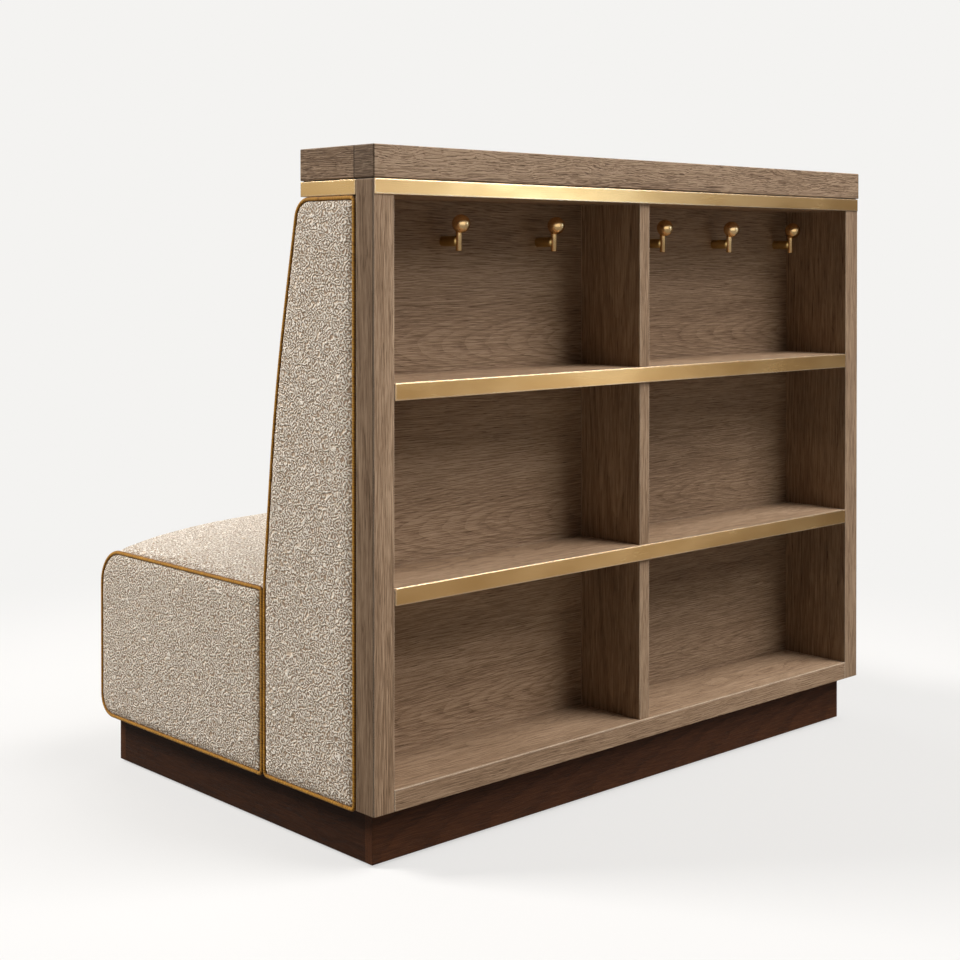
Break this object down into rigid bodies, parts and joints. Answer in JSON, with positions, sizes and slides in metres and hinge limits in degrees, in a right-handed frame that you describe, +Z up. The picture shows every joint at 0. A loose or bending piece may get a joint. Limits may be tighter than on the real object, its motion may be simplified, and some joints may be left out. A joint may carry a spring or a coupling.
{
  "type": "restaurant booth seating",
  "caption": "Booth bench with an upholstered seat and back, an open shelf unit with coat hooks behind the back, a flat cap, metal edge strips and a recessed plinth.",
  "frame": {"origin": "middle of the floor under the whole bench", "axes": "+X along the bench, towards its left end as seen from the shelf side; +Y towards the shelf side; +Z up"},
  "size_m": [1.3148, 0.8441, 1.15],
  "materials": {
    "oak": "brushed and matt oiled",
    "dark_wood": "dark stained, satin",
    "black_wood": "black stained",
    "brass": "brushed satin",
    "aged_brass": "aged, dark",
    "boucle": "curly loop pile over foam",
    "piping_fabric": "corded",
    "plywood": "raw",
    "glide_plastic": "matt",
    "screw_steel": "zinc plated"
  },
  "bodies": {
    "root": {"side_panel_left": "oak", "side_panel_right": "oak", "bottom_board": "oak", "shelf_lower": "oak", "shelf_upper": "oak", "divider_lower": "oak", "divider_middle": "oak", "divider_upper": "oak", "case_back_panel": "oak", "top_board": "oak", "cap_lipping": "oak", "cap_board": "oak", "plinth_rear_board": "dark_wood", "plinth_front_board": "dark_wood", "plinth_end_left": "dark_wood", "plinth_end_right": "dark_wood", "cap_spacer": "black_wood", "brass_shelf_lower": "brass", "brass_shelf_upper": "brass", "brass_top_rear": "brass", "brass_top_front": "brass", "brass_top_left": "brass", "brass_top_right": "brass", "hook_post_1": "aged_brass", "hook_post_2": "aged_brass", "hook_post_3": "aged_brass", "hook_post_4": "aged_brass", "hook_post_5": "aged_brass", "hook_pin_1": "aged_brass", "hook_pin_2": "aged_brass", "hook_pin_3": "aged_brass", "hook_pin_4": "aged_brass", "hook_pin_5": "aged_brass", "back_cushion": "boucle", "seat_cushion": "boucle", "back_end_pad_left": "boucle", "back_end_pad_right": "boucle", "seat_end_pad_left": "boucle", "seat_end_pad_right": "boucle", "back_piping_left": "piping_fabric", "back_piping_right": "piping_fabric", "seat_piping_left": "piping_fabric", "seat_piping_right": "piping_fabric", "plinth_cross_rail": "plywood", "plinth_corner_blocks": "plywood", "base_panel": "plywood", "shelf_dowels": "plywood", "back_rib_left": "plywood", "back_rib_middle": "plywood", "back_rib_right": "plywood", "back_slope_panel": "plywood", "back_lower_panel": "plywood", "seat_front_board": "plywood", "seat_rear_board": "plywood", "seat_end_board_left": "plywood", "seat_end_board_right": "plywood", "seat_middle_brace": "plywood", "seat_deck": "plywood", "plinth_glides": "glide_plastic", "joining_screws": "screw_steel"}
  },
  "joints": []
}
